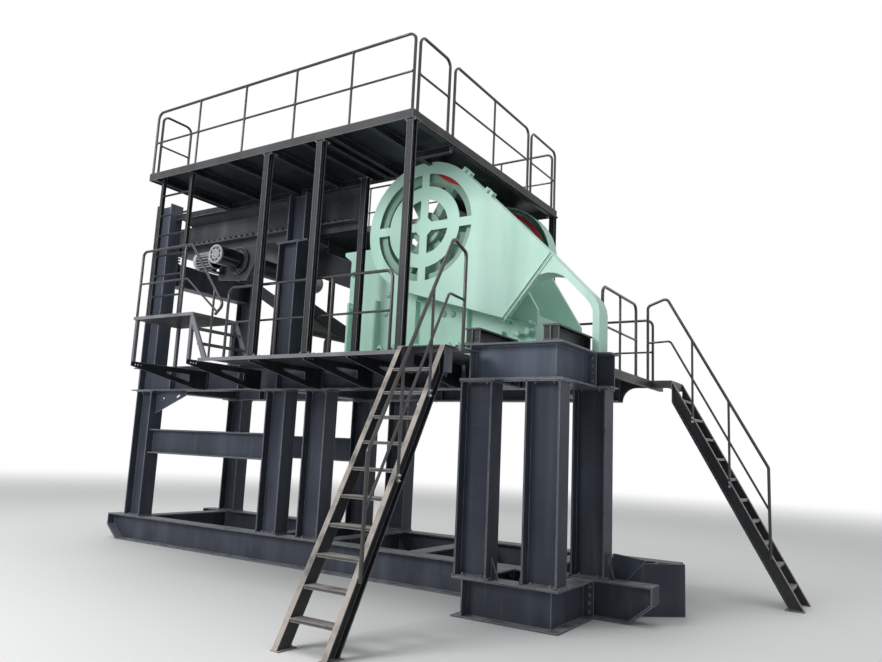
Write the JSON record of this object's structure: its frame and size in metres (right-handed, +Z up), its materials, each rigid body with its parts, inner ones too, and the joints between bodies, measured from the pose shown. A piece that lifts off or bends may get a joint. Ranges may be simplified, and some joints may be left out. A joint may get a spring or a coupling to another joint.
{
  "type": "jaw crusher station",
  "caption": "Skid-mounted jaw crusher with spoked flywheels under cut-out guards, fed by a vibrating feeder, on a steel frame with walkways, deck and stairs.",
  "frame": {"origin": "centre of the skid's footprint, on the ground", "axes": "+X along the skid to the discharge end, +Y to the rear side, +Z up"},
  "size_m": [11.596, 6.546, 7.3115],
  "materials": {
    "steel": "satin dark blue-charcoal paint on rolled steel",
    "dark": "satin near-black paint",
    "grey": "worn grey paint on tube and plate",
    "mint": "semi-gloss pale mint green paint",
    "jaw_iron": "bare cast manganese steel",
    "bare_steel": "machined steel, oiled"
  },
  "bodies": {
    "frame": {"skid_beam_front": "steel", "skid_beam_rear": "steel", "skid_cross_beams": "steel", "tower_base": "steel", "columns_front": "steel", "columns_rear": "steel", "columns_tower": "steel", "tie_beams": "steel", "main_beam_front": "steel", "main_beam_rear": "steel", "main_cross_beams": "steel", "head_frame": "steel", "motor_rails": "steel", "walkway_floor": "steel", "walkway_brackets": "dark", "walkway_handrail": "grey", "deck_posts_front": "dark", "deck_posts_rear": "dark", "deck_floor": "steel", "deck_beams": "dark", "deck_rail_front": "grey", "deck_rail_left": "grey", "deck_rail_right": "grey", "deck_rail_rear": "grey", "ladder": "dark", "landing": "steel", "landing_handrail": "grey", "front_stair": "grey", "front_stair_treads": "grey", "front_stair_handrail": "grey", "rear_walkway": "steel", "rear_walkway_rail": "grey", "platform_rail": "grey", "rear_stair": "dark", "rear_stair_treads": "grey", "rear_stair_handrail": "grey", "upper_columns": "steel", "feeder_springs": "dark", "feeder_pan": "dark", "hopper": "steel", "exciter": "dark", "exciter_motor": "dark", "fines_chute": "dark", "transfer_chute": "dark", "crusher_side_front": "mint", "crusher_side_rear": "mint", "crusher_end_walls": "mint", "fixed_jaw": "jaw_iron", "swing_jaw": "mint", "toggle_seat": "mint", "bearing_housings": "mint", "guard_front": "mint", "guard_arm": "mint", "guard_rear": "mint", "discharge_plates": "dark"},
    "rotor": {"eccentric_shaft": "bare_steel", "flywheel_front": "mint", "flywheel_rear": "mint"}
  },
  "joints": [
    {"name": "flywheel_spin", "type": "hinge", "parent": "frame", "child": "rotor", "pos_m": [1.76, 0, 5.15], "axis": [0, 1, 0], "continuous": true}
  ]
}
